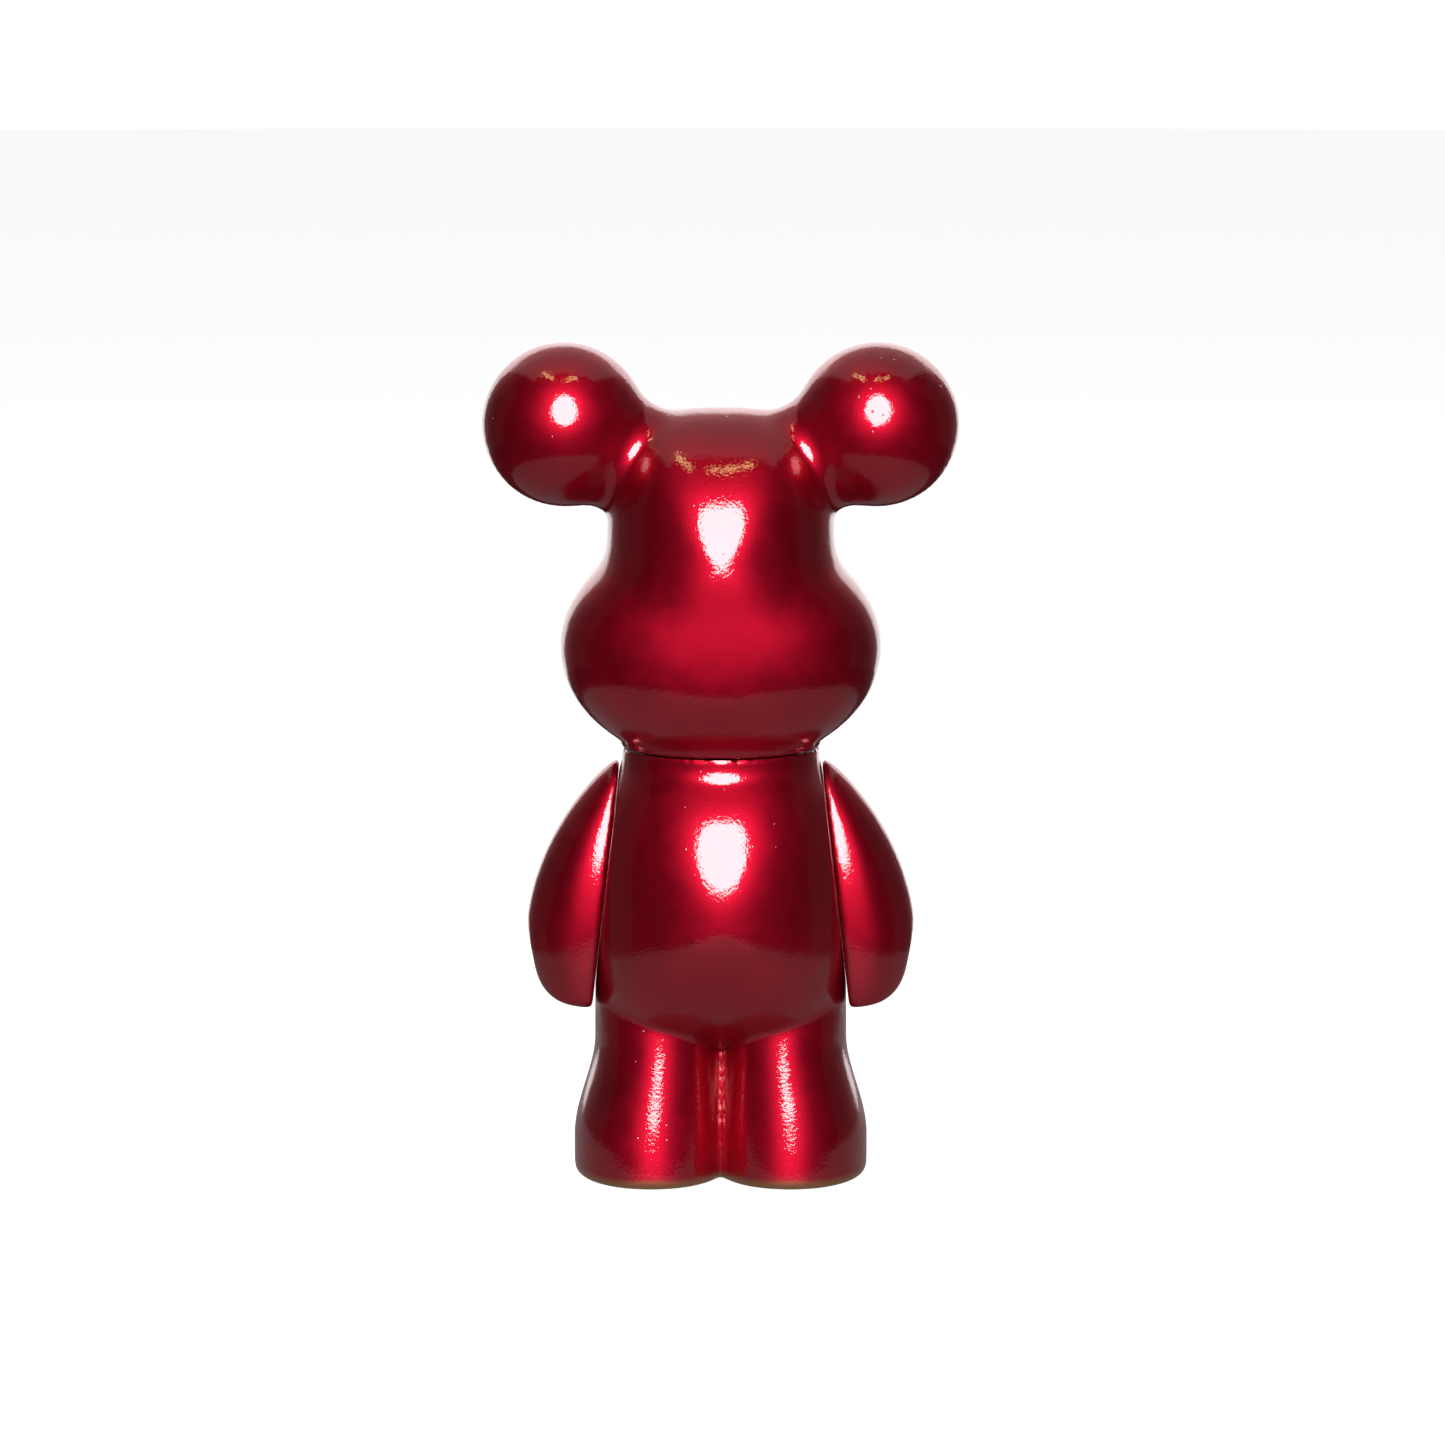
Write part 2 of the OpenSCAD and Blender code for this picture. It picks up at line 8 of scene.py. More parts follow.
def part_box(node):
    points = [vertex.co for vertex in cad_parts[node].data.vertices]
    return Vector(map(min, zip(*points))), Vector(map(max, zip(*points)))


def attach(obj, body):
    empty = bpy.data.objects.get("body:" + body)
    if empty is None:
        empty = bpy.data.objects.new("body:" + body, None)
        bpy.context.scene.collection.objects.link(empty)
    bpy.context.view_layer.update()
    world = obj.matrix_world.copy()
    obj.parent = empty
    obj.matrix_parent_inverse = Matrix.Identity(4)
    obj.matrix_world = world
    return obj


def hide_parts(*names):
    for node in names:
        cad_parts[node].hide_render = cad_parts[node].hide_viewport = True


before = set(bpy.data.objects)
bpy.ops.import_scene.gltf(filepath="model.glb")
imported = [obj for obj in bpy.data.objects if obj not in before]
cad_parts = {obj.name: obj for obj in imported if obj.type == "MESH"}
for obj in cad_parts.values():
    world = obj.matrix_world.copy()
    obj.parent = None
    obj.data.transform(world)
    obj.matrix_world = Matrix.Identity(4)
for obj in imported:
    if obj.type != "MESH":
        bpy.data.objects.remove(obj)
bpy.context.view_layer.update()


# ---- Camera -------------------------------------------------------------------------------
# The figure is seen from behind, a little from above, with a long lens.
# The aim is a point on its upright axis, at about belly height.

def look_from(obj, azimuth, elevation, distance, aim):
    """Place a camera or a lamp at an azimuth and an elevation round the aim, turned to face it."""
    a, e = radians(azimuth), radians(elevation)
    back = Vector((sin(a) * cos(e), -cos(a) * cos(e), sin(e)))
    obj.location = aim + distance * back
    obj.rotation_euler = back.to_track_quat("Z", "Y").to_euler()
    bpy.context.scene.collection.objects.link(obj)


camera_distance = 2.2
framed_width = 0.4826
sensor_width = 36
aim = Vector((-0.0006, 0, 0.1516))

camera_data = bpy.data.cameras.new("camera")
camera_data.sensor_width = sensor_width
camera_data.lens = sensor_width * camera_distance / framed_width
camera = bpy.data.objects.new("camera", camera_data)
look_from(camera, 180, 8.5, camera_distance, aim)
bpy.context.scene.camera = camera
bpy.context.scene.view_settings.view_transform = "Standard"


# ---- Studio -------------------------------------------------------------------------------
# A bright seamless white room: one round softbox above and behind the camera, a pale ceiling,
# a white card behind the figure, and a pale table that the lacquer mirrors for a short way.

def lamp_card(name, azimuth, elevation, distance, size, radiance, shape="RECTANGLE", tint=(1, 1, 1)):
    """Area lamp, of a width and a height, that the lacquer mirrors as an even bright shape."""
    width, height = size
    data = bpy.data.lights.new(name, "AREA")
    data.shape = shape
    data.size = width
    data.size_y = height
    data.energy = radiance * pi * width * height
    data.color = tint
    lamp = bpy.data.objects.new(name, data)
    lamp.visible_camera = False
    look_from(lamp, azimuth, elevation, distance, aim)
    return lamp


lamp_card("softbox", 181, 26.7, 2.6, (1.6, 2.0), 10, "ELLIPSE")
lamp_card("ceiling", 0, 62, 1.6, (2.6, 2.4), 0.3)
lamp_card("backdrop_card", 0, 12, 1.8, (2.6, 1.9), 1.6)
for azimuth in (-62, 62):
    lamp_card("side_card", azimuth, 12, 1.8, (2.0, 1.9), 0.03)
for azimuth, elevation in ((200, 72), (120, 70)):
    lamp_card("warm_ceiling_lamp", azimuth, elevation, 1.5, (0.45, 0.08), 7, tint=(1, 0.72, 0.3))

room = bpy.data.worlds.new("white_room")
bpy.context.scene.world = room
room.use_nodes = True
room_nodes = room.node_tree.nodes
room_links = room.node_tree.links
room_nodes.clear()
seen_white = room_nodes.new("ShaderNodeBackground")
seen_white.inputs["Color"].default_value = (1, 1, 1, 1)
dim_room = room_nodes.new("ShaderNodeBackground")
dim_room.inputs["Color"].default_value = (0.9, 0.93, 1, 1)
dim_room.inputs["Strength"].default_value = 0.008
ray_kind = room_nodes.new("ShaderNodeLightPath")
room_mix = room_nodes.new("ShaderNodeMixShader")
room_out = room_nodes.new("ShaderNodeOutputWorld")
room_links.new(ray_kind.outputs["Is Camera Ray"], room_mix.inputs["Fac"])
room_links.new(dim_room.outputs[0], room_mix.inputs[1])
room_links.new(seen_white.outputs[0], room_mix.inputs[2])
room_links.new(room_mix.outputs[0], room_out.inputs["Surface"])


def table_top(name, radius, height, colour, glow):
    """Round sheet of pale matt paper that lies level."""
    sides = 96
    turns = [2 * pi * i / sides for i in range(sides)]
    points = [(radius * cos(a), radius * sin(a), height) for a in turns]
    mesh = bpy.data.meshes.new(name)
    mesh.from_pydata(points, [], [list(range(sides))])
    sheet = bpy.data.objects.new(name, mesh)
    bpy.context.scene.collection.objects.link(sheet)
    material = bpy.data.materials.new(name)
    material.use_nodes = True
    shader = material.node_tree.nodes["Principled BSDF"]
    shader.inputs["Base Color"].default_value = colour
    shader.inputs["Roughness"].default_value = 0.9
    shader.inputs["Emission Color"].default_value = (1, 1, 1, 1)
    shader.inputs["Emission Strength"].default_value = glow
    mesh.materials.append(material)
    return sheet


paper = table_top("paper_floor", 6.0, 0, (0.5, 0.5, 0.5, 1), 0.93)
paper.visible_glossy = False
mirrored_patch = table_top("mirrored_floor", 0.33, 0.0001, (0.05, 0.05, 0.05, 1), 0.1)
mirrored_patch.visible_camera = False
mirrored_patch.visible_shadow = False
mirrored_patch.visible_diffuse = False


# ---- Body casting -------------------------------------------------------------------------
# Torso and both legs, slush-cast in one hollow piece of hard vinyl with an even wall.
# It is open under the feet and at the neck, and lacquered outside after it is trimmed.

def egg(p, centre, half, front, deep):
    """Squarish ellipsoid: below 0 inside, 0 on its surface.
    One power squares its outline from the front and one its section in depth; 2 is an ellipse."""
    d = [p[i] - centre[i] for i in range(3)]
    outline = (np.abs(d[0] / half[0]) ** front + np.abs(d[2] / half[2]) ** front) ** (deep / front)
    k = (outline + np.abs(d[1] / half[1]) ** deep) ** (1 / deep)
    return np.sqrt(sum(x * x for x in d)) * (1 - 1 / np.maximum(k, 1e-4))


def column(p, x, half_x, half_y, power):
    """Upright column of the same squarish section."""
    dx, dy = p[0] - x, p[1]
    k = (np.abs(dx / half_x) ** power + np.abs(dy / half_y) ** power) ** (1 / power)
    return np.sqrt(dx * dx + dy * dy) * (1 - 1 / np.maximum(k, 1e-4))


def join(a, b, soft):
    """Soft union of two forms."""
    return np.minimum(a, b) - soft * np.log1p(np.exp(-np.abs(a - b) / soft))


def trim(a, b, soft):
    """Soft intersection of two forms."""
    return -join(-a, -b, soft)


def pull_to(form, points, turns):
    """Move points along the form's slope until they lie on its surface."""
    h = 2e-5
    steps = h * np.eye(3)
    for _ in range(turns):
        value = form(points.T)
        slope = np.stack([form((points + s).T) - form((points - s).T) for s in steps], 1) / (2 * h)
        size = np.maximum((slope ** 2).sum(1), 0.05)
        points = points - (value / size)[:, None] * slope
    return points


def skin(name, form, low, high, cell, turns=5):
    """Closed, even skin of quads on a form: one point in each cell that the surface crosses."""
    axes = [np.arange(low[i], high[i] + cell, cell) for i in range(3)]
    inside = form(np.meshgrid(*axes, indexing="ij", sparse=True)) < 0
    nx, ny, nz = (len(axis) - 1 for axis in axes)
    corners = sum(inside[i:nx + i, j:ny + j, k:nz + k].astype(np.int8)
                  for i in (0, 1) for j in (0, 1) for k in (0, 1))
    crossed = (corners > 0) & (corners < 8)
    number = np.full(crossed.shape, -1)
    number[crossed] = np.arange(crossed.sum())
    points = np.argwhere(crossed) * cell + np.array(low) + cell / 2
    quads = []
    for axis in range(3):
        u, v = (axis + 1) % 3, (axis + 2) % 3
        lower = np.take(inside, range(len(axes[axis]) - 1), axis)
        upper = np.take(inside, range(1, len(axes[axis])), axis)
        at = np.argwhere(lower != upper)
        at = at[(at[:, u] > 0) & (at[:, v] > 0)]
        leaving = lower[tuple(at.T)]
        ring = []
        for du, dv in ((1, 1), (0, 1), (0, 0), (1, 0)):
            cell_at = at.copy()
            cell_at[:, u] -= du
            cell_at[:, v] -= dv
            ring.append(number[tuple(cell_at.T)])
        ring = np.stack(ring, 1)
        ring[~leaving] = ring[~leaving][:, ::-1]
        quads.append(ring)
    quads = np.concatenate(quads)
    sides = np.concatenate([quads[:, [i, (i + 1) % 4]] for i in range(4)])
    count = np.bincount(sides[:, 0], minlength=len(points))[:, None]
    points = pull_to(form, points, 3)
    for _ in range(turns):
        total = np.zeros_like(points)
        np.add.at(total, sides[:, 0], points[sides[:, 1]])
        points = pull_to(form, 0.4 * points + 0.6 * total / count, 1)
    points = pull_to(form, points, 2)
    return mesh_piece(name, points.tolist(), quads.tolist())


def mesh_piece(name, points, faces):
    mesh = bpy.data.meshes.new(name)
    mesh.from_pydata(points, [], faces)
    piece = bpy.data.objects.new(name, mesh)
    bpy.context.scene.collection.objects.link(piece)
    return piece


def cut(piece, tool, how="DIFFERENCE"):
    """Cut one closed mesh with another; the tool is used up."""
    knife = piece.modifiers.new("cut", "BOOLEAN")
    knife.operation = how
    knife.solver = "MANIFOLD"
    knife.object = tool
    graph = bpy.context.evaluated_depsgraph_get()
    mesh = bpy.data.meshes.new_from_object(piece.evaluated_get(graph))
    piece.modifiers.clear()
    piece.data = mesh
    bpy.data.objects.remove(tool)


def turned(name, profile, sides, place=Matrix.Identity(4)):
    """Closed solid turned about Z; its profile of (radius, height) points starts and ends on the axis."""
    rings = profile[1:-1]
    turns = [2 * pi * i / sides for i in range(sides)]
    points = [(r * cos(a), r * sin(a), z) for r, z in rings for a in turns]
    low, high = len(points), len(points) + 1
    points += [(0, 0, profile[0][1]), (0, 0, profile[-1][1])]
    faces = [[j + i, j + (i + 1) % sides, j + sides + (i + 1) % sides, j + sides + i]
             for j in range(0, (len(rings) - 1) * sides, sides) for i in range(sides)]
    last = (len(rings) - 1) * sides
    faces += [[(i + 1) % sides, i, low] for i in range(sides)]
    faces += [[last + i, last + (i + 1) % sides, high] for i in range(sides)]
    piece = mesh_piece(name, points, faces)
    piece.data.transform(place)
    return piece


def rod(name, radius, low, high, place=Matrix.Identity(4)):
    return turned(name, [(0, low), (radius, low), (radius, high), (0, high)], 64, place)


def smooth(piece, crease=40):
    piece.data.shade_smooth()
    piece.data.set_sharp_from_angle(angle=radians(crease))


wall = 0.003
joint_gap = 0.0003
neck_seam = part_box("body_shell")[1].z + joint_gap / 2
neck_r = 0.0334
hub_r = 0.024
belly_half_w = 0.044
belly_half_d = 0.0505
belly_up = 0.060
belly_down = 0.050
belly_mid = (0, 0, neck_seam - 0.052)
leg_x = 0.0206
leg_half_w = 0.0216
leg_half_d = 0.029
foot_spread = 0.0025
foot_flare = 0.0045
foot_top = 0.046
foot_low = 0.012
calf_flare = 0.010
calf_top = 0.070
calf_low = -0.010
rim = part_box("body_shell")[0].z
shoulder_z = neck_seam - 0.026
hand_low = neck_seam - 0.0872
release = hand_low - 0.006
side_gap = 0.00003   # to the arm's flat side; a wider gap would show the backdrop as a slit
upper_belly_power = 2.5
lower_belly_power = 3.5
leg_power = 2.15
neck_blend = 0.0012
leg_blend = 0.0012
hip_blend = 0.0005
side_blend = 0.0004
edge_blend = 0.001
web_r = leg_half_d / 4
below_floor = 0.005
arm_lean = radians(6.5)
arm_face = belly_half_w - 0.001
shoulder_x = arm_face - (shoulder_z - hand_low) * tan(arm_lean)


def neck_column(p):
    return np.sqrt(p[0] ** 2 + p[1] ** 2) - neck_r


def arm_side(p):
    """The flat side that an arm lies against."""
    return (np.abs(p[0]) - shoulder_x) * cos(arm_lean) + (p[2] - shoulder_z) * sin(arm_lean)


def eased(z, top, low):
    """Share that grows smoothly from 0 at the top height to 1 at the low one."""
    share = np.clip((top - z) / (top - low), 0, 1)
    return share * share * (3 - 2 * share)


def leg(p, side):
    foot = eased(p[2], foot_top, foot_low)
    half_d = leg_half_d + calf_flare * eased(p[2], calf_top, calf_low)
    return column(p, side * (leg_x + foot_spread * foot), leg_half_w + foot_flare * foot, half_d, leg_power)


def body_core(p):
    low = egg(p, belly_mid, (belly_half_w, belly_half_d, belly_down), lower_belly_power, 2)
    high = egg(p, belly_mid, (belly_half_w, belly_half_d, belly_up), upper_belly_power, 2)
    belly = np.where(p[2] < belly_mid[2], low, high)
    neck = np.maximum(neck_column(p), belly_mid[2] - p[2])
    legs = np.maximum(join(leg(p, 1), leg(p, -1), leg_blend), p[2] - belly_mid[2])
    whole = join(join(belly, neck, neck_blend), legs, hip_blend)
    return trim(whole, arm_side(p) + side_gap - np.maximum(0, release - p[2]) / 2, side_blend)


def body_form(p):
    cast = trim(body_core(p), rim - 0.0006 - p[2], edge_blend)
    return trim(cast, p[2] - neck_seam + joint_gap / 2, 0.0001)


def body_hollow(p):
    """Space inside the wall, down through the feet; it stays open where the legs run together."""
    web = np.sqrt(p[0] ** 2 + p[1] ** 2) - web_r
    inside = join(body_core(p) + wall, web, hip_blend)
    return np.maximum(np.maximum(inside, p[2] - neck_seam + wall), -below_floor - p[2])


cell = 0.0011
hollow_cell = 0.0025
margin_cells = 3
body_low, body_high = (np.array(c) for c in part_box("body_shell"))
margin = margin_cells * cell
body_casting = skin("body_casting", body_form, body_low - margin, body_high + margin, cell)
cut(body_casting, skin("hollow", body_hollow, body_low - 0.01, body_high + margin, hollow_cell))
cut(body_casting, rod("neck_opening", hub_r, neck_seam - 0.01, neck_seam + 0.01))


def fresh_material(name):
    """A material with its shader, and the object's own coordinates to lay patterns on."""
    material = bpy.data.materials.new(name)
    material.use_nodes = True
    tree = material.node_tree
    place = tree.nodes.new("ShaderNodeTexCoord").outputs["Object"]
    return material, tree, tree.nodes["Principled BSDF"].inputs, place


def noise(tree, place, scale, detail=2):
    texture = tree.nodes.new("ShaderNodeTexNoise")
    texture.inputs["Scale"].default_value = scale
    texture.inputs["Detail"].default_value = detail
    tree.links.new(place, texture.inputs["Vector"])
    return texture.outputs["Fac"]


def cells(tree, place, scale):
    texture = tree.nodes.new("ShaderNodeTexVoronoi")
    texture.inputs["Scale"].default_value = scale
    tree.links.new(place, texture.inputs["Vector"])
    return texture.outputs


def grade(tree, source, start, end):
    """Colour or grey that goes from one stop to another as the source grows; a stop is (place, colour)."""
    steps = tree.nodes.new("ShaderNodeValToRGB")
    for stop, (at, colour) in zip(steps.color_ramp.elements, (start, end)):
        stop.position = at
        stop.color = colour if isinstance(colour, tuple) else (colour, colour, colour, 1)
    tree.links.new(source, steps.inputs["Fac"])
    return steps.outputs["Color"]


def multiply(tree, first, second):
    product = tree.nodes.new("ShaderNodeMath")
    product.operation = "MULTIPLY"
    tree.links.new(first, product.inputs[0])
    tree.links.new(second, product.inputs[1])
    return product.outputs[0]


def bump(tree, height, depth, under=None):
    """Surface relief; depth is in metres."""
    relief = tree.nodes.new("ShaderNodeBump")
    relief.inputs["Distance"].default_value = depth
    tree.links.new(height, relief.inputs["Height"])
    if under:
        tree.links.new(under, relief.inputs["Normal"])
    return relief.outputs["Normal"]


def candy_lacquer(name):
    """Deep red clear lacquer over metallic silver, under a wet clear coat with orange peel and dust nibs."""
    material, tree, shader, place = fresh_material(name)
    shader["Metallic"].default_value = 0.9
    shader["Coat Weight"].default_value = 1.0
    shader["Coat IOR"].default_value = 1.7
    shader["Coat Roughness"].default_value = 0.03

    # the colour coat is uneven, and ends just above the trimmed rim under the feet
    thick, thin = (0.34, 0.0002, 0.013, 1), (0.44, 0.0003, 0.018, 1)
    film = grade(tree, noise(tree, place, 28, 3), (0.3, thick), (0.7, thin))
    height = tree.nodes.new("ShaderNodeSeparateXYZ")
    tree.links.new(place, height.inputs[0])
    painted = grade(tree, height.outputs["Z"], (0.0011, 0.0), (0.0015, 1.0))
    rim_mix = tree.nodes.new("ShaderNodeMixRGB")
    bare_resin = (0.42, 0.30, 0.12, 1)
    rim_mix.inputs["Color1"].default_value = bare_resin
    tree.links.new(painted, rim_mix.inputs["Fac"])
    tree.links.new(film, rim_mix.inputs["Color2"])
    tree.links.new(rim_mix.outputs[0], shader["Base Color"])

    # flakes lie at slightly different angles from place to place
    tree.links.new(grade(tree, noise(tree, place, 140), (0.35, 0.41), (0.65, 0.47)), shader["Roughness"])
    flakes = cells(tree, place, 3200)["Distance"]
    tree.links.new(bump(tree, flakes, 0.00003), shader["Normal"])

    # slow waves, orange peel of about a millimetre, and dust nibs in patches
    waves = bump(tree, noise(tree, place, 90, 1), 0.0001)
    peel = bump(tree, noise(tree, place, 900), 0.00006, waves)
    specks = cells(tree, place, 330)
    nib = grade(tree, specks["Distance"], (0.05, 1.0), (0.16, 0.0))
    chosen = grade(tree, specks["Color"], (0.62, 0.0), (0.66, 1.0))
    patch = grade(tree, noise(tree, place, 34, 1), (0.52, 0.0), (0.6, 1.0))
    nibs = multiply(tree, multiply(tree, nib, chosen), patch)
    tree.links.new(bump(tree, nibs, 0.00012, peel), shader["Coat Normal"])
    return material


lacquer = candy_lacquer("candy_red_lacquer")


def spray(piece):
    """Rub a casting smooth, except at its trimmed edges, and lacquer it all over."""
    smooth(piece)
    piece.data.materials.clear()
    piece.data.materials.append(lacquer)


spray(body_casting)
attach(body_casting, "body")
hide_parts("body_shell")


# ---- Head casting and ears ----------------------------------------------------------------
# The head is cast with its muzzle. The ears are cast apart as hollow balls on short stalks,
# glued into sockets and flooded with the same lacquer, so that each joint is a soft crease.

forehead_half = (0.0382, 0.0455, 0.0485)
forehead_rise = 0.065
crown_taper = 2.2
cheek_half = (0.0539, 0.0458, 0.040)
cheek_rise = 0.034
muzzle_half = (0.021, 0.019, 0.017)
muzzle_forward = 0.040
ear_r = 0.0274
ear_stalk_r = 0.0195
ear_reach = 0.0237
ear_seat = Vector((0.0309, 0, neck_seam + 0.097))
ear_tilt = radians(27)
ear_axis = Vector((cos(ear_tilt), 0, sin(ear_tilt)))
ear_fillet = 0.0012
stalk_fillet = 0.0015
divider_reach = 0.016
collar_h = 0.012
forehead_blend = 0.0025
muzzle_blend = 0.002


def bare_head(p):
    forehead_z = neck_seam + forehead_rise
    narrowed = [p[0], p[1] / (1 - crown_taper * (p[2] - forehead_z)), p[2]]
    forehead = egg(narrowed, (0, 0, forehead_z), forehead_half, 2.9, 2)
    cheeks = egg(p, (0, 0, neck_seam + cheek_rise), cheek_half, 2, 2.45)
    muzzle = egg(p, (0, -muzzle_forward, neck_seam + cheek_rise - 0.004), muzzle_half, 2.2, 2.2)
    collar = np.maximum(neck_column(p), p[2] - neck_seam - collar_h)
    whole = join(join(forehead, cheeks, forehead_blend), muzzle, muzzle_blend)
    return join(whole, collar, neck_blend)


def ear_form(p):
    """Ear ball and stalk, on both sides at once."""
    dx, dz = np.abs(p[0]) - ear_seat.x, p[2] - ear_seat.z
    along = dx * ear_axis.x + dz * ear_axis.z
    across = np.sqrt(np.maximum(dx * dx + dz * dz - along * along, 0) + p[1] ** 2)
    ball = np.sqrt(across ** 2 + (along - ear_reach) ** 2) - ear_r
    stalk = np.maximum(across - ear_stalk_r, np.maximum(along - ear_reach, -along - 0.012))
    return join(ball, stalk, stalk_fillet)


def head_form(p):
    whole = join(bare_head(p), ear_form(p), ear_fillet)
    return trim(whole, neck_seam + joint_gap / 2 + 0.0002 - p[2], 0.0003)


def head_hollow(p):
    return np.maximum(bare_head(p) + wall, neck_seam + wall - p[2])


def at_ear(side):
    """Places a solid turned about Z on an ear's axis, with Z = 0 on the seat."""
    turn = Matrix.Rotation(pi / 2 - ear_tilt, 4, "Y")
    return Matrix.Diagonal((side, 1, 1, 1)) @ Matrix.Translation(ear_seat) @ turn


def ear_divider(name, side):
    """Flaring solid round an ear; its flank meets the skin in the crease."""
    profile = [(0, -0.004), (ear_stalk_r - 0.004, -0.004), (ear_stalk_r + 0.0005, 0),
               (ear_stalk_r + divider_reach, divider_reach), (ear_stalk_r + divider_reach, 0.06), (0, 0.06)]
    piece = turned(name, profile, 96, at_ear(side))
    if side < 0:
        piece.data.flip_normals()
    return piece


head_low, head_high = (np.array(c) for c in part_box("head_shell"))
ears_high = np.array(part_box("ear_left")[1])
whole_low = np.minimum(head_low, [-ears_high[0], head_low[1], head_low[2]]) - margin
whole_high = np.maximum(head_high, ears_high) + margin
head_casting = skin("head_casting", head_form, whole_low, whole_high, cell)
ears = {}
for side, label in ((1, "left"), (-1, "right")):
    ear = head_casting.copy()
    ear.data = head_casting.data.copy()
    ear.name = f"ear_ball_{label}"
    bpy.context.scene.collection.objects.link(ear)
    cut(ear, ear_divider("divider", side), "INTERSECT")
    ears[label] = ear
for side in (1, -1):
    cut(head_casting, ear_divider("divider", side))
cut(head_casting, skin("hollow", head_hollow, head_low - 0.01, head_high + 0.01, hollow_cell))
cut(head_casting, rod("neck_opening", hub_r + wall, neck_seam - 0.01, neck_seam + 0.01))

for piece, node in ((head_casting, "head_shell"), (ears["left"], "ear_left"), (ears["right"], "ear_right")):
    spray(piece)
    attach(piece, "head")
    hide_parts(node)


# ---- Nose and eyes ------------------------------------------------------------------------
# Three round buttons with soft edges, one shape in two sizes. Each is cast solid, glued into
# a pocket in the head by a peg, and lacquered with it.

def input_socket(tree, name, value):
    """Named size of a shape tree, in metres."""
    socket = tree.interface.new_socket(name, in_out="INPUT", socket_type="NodeSocketFloat")
    socket.default_value = value
    return socket.identifier


def button_tree(material):
    """Shape of one button: a ball flattened to its radius, its dome in front and its base behind."""
    tree = bpy.data.node_groups.new("lacquered_button", "GeometryNodeTree")
    sizes = {name: input_socket(tree, name, value)
             for name, value in (("Radius", 0.008), ("Dome", 0.0036), ("Sink", 0.0022))}
    tree.interface.new_socket("Geometry", in_out="OUTPUT", socket_type="NodeSocketGeometry")
    nodes, links = tree.nodes, tree.links
    given = nodes.new("NodeGroupInput").outputs
    ball = nodes.new("GeometryNodeMeshUVSphere")
    ball.inputs["Segments"].default_value = 64
    ball.inputs["Rings"].default_value = 32
    ball.inputs["Radius"].default_value = 1.0
    where = nodes.new("GeometryNodeInputPosition")
    parts = nodes.new("ShaderNodeSeparateXYZ")
    links.new(where.outputs[0], parts.inputs[0])
    front = nodes.new("ShaderNodeMath")
    front.operation = "GREATER_THAN"
    front.inputs[1].default_value = 0.0
    links.new(parts.outputs["Z"], front.inputs[0])
    depth = nodes.new("GeometryNodeSwitch")
    depth.input_type = "FLOAT"
    links.new(front.outputs[0], depth.inputs["Switch"])
    links.new(given["Sink"], depth.inputs["False"])
    links.new(given["Dome"], depth.inputs["True"])
    stretch = nodes.new("ShaderNodeCombineXYZ")
    links.new(given["Radius"], stretch.inputs["X"])
    links.new(given["Radius"], stretch.inputs["Y"])
    links.new(depth.outputs[0], stretch.inputs["Z"])
    placed = nodes.new("ShaderNodeVectorMath")
    placed.operation = "MULTIPLY"
    links.new(where.outputs[0], placed.inputs[0])
    links.new(stretch.outputs[0], placed.inputs[1])
    move = nodes.new("GeometryNodeSetPosition")
    links.new(ball.outputs["Mesh"], move.inputs["Geometry"])
    links.new(placed.outputs[0], move.inputs["Position"])
    soften = nodes.new("GeometryNodeSetShadeSmooth")
    links.new(move.outputs[0], soften.inputs["Geometry"])
    realize = nodes.new("GeometryNodeRealizeInstances")
    links.new(soften.outputs[0], realize.inputs[0])
    finish = nodes.new("GeometryNodeSetMaterial")
    finish.inputs["Material"].default_value = material
    links.new(realize.outputs[0], finish.inputs["Geometry"])
    links.new(finish.outputs[0], nodes.new("NodeGroupOutput").inputs[0])
    return tree, sizes


button_shape, button_sizes = button_tree(lacquer)
nose_sizes = (0.008, 0.0036, 0.0022)   # radius, dome and sink of a button
eye_sizes = (0.004, 0.0022, 0.001)
nose_rise = cheek_rise - 0.001
eye_rise = 0.056
eye_angle = radians(25)


def button(name, node, sizes, rise, turn):
    """A button on the head's surface, at a height above the neck and a turn from the face's middle."""
    piece = mesh_piece(name, [], [])
    shape = piece.modifiers.new("shape", "NODES")
    shape.node_group = button_shape
    for label, value in zip(("Radius", "Dome", "Sink"), sizes):
        shape[button_sizes[label]] = value
    graph = bpy.context.evaluated_depsgraph_get()
    mesh = bpy.data.meshes.new_from_object(piece.evaluated_get(graph))
    piece.modifiers.clear()
    piece.data = mesh
    angle = turn - pi / 2
    ray = np.linspace(0.02, 0.08, 1201)
    along = np.stack([ray * cos(angle), ray * sin(angle), np.full_like(ray, neck_seam + rise)])
    surface = ray[np.argmax(head_form(along) > 0)]
    outwards = Matrix.Translation((surface, 0, 0)) @ Matrix.Rotation(pi / 2, 4, "Y")
    mesh.transform(Matrix.Translation((0, 0, neck_seam + rise)) @ Matrix.Rotation(angle, 4, "Z") @ outwards)
    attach(piece, "head")
    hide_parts(node)


button("nose_button", "nose", nose_sizes, nose_rise, 0)
for side, label in ((1, "left"), (-1, "right")):
    button(f"eye_button_{label}", f"eye_{label}", eye_sizes, eye_rise, side * eye_angle)


# ---- Arms ---------------------------------------------------------------------------------
# Each arm is cast in one with its mitten hand. The side towards the body is flat, so that it
# clears the torso as it swings, and a plug in it carries the shoulder pin.

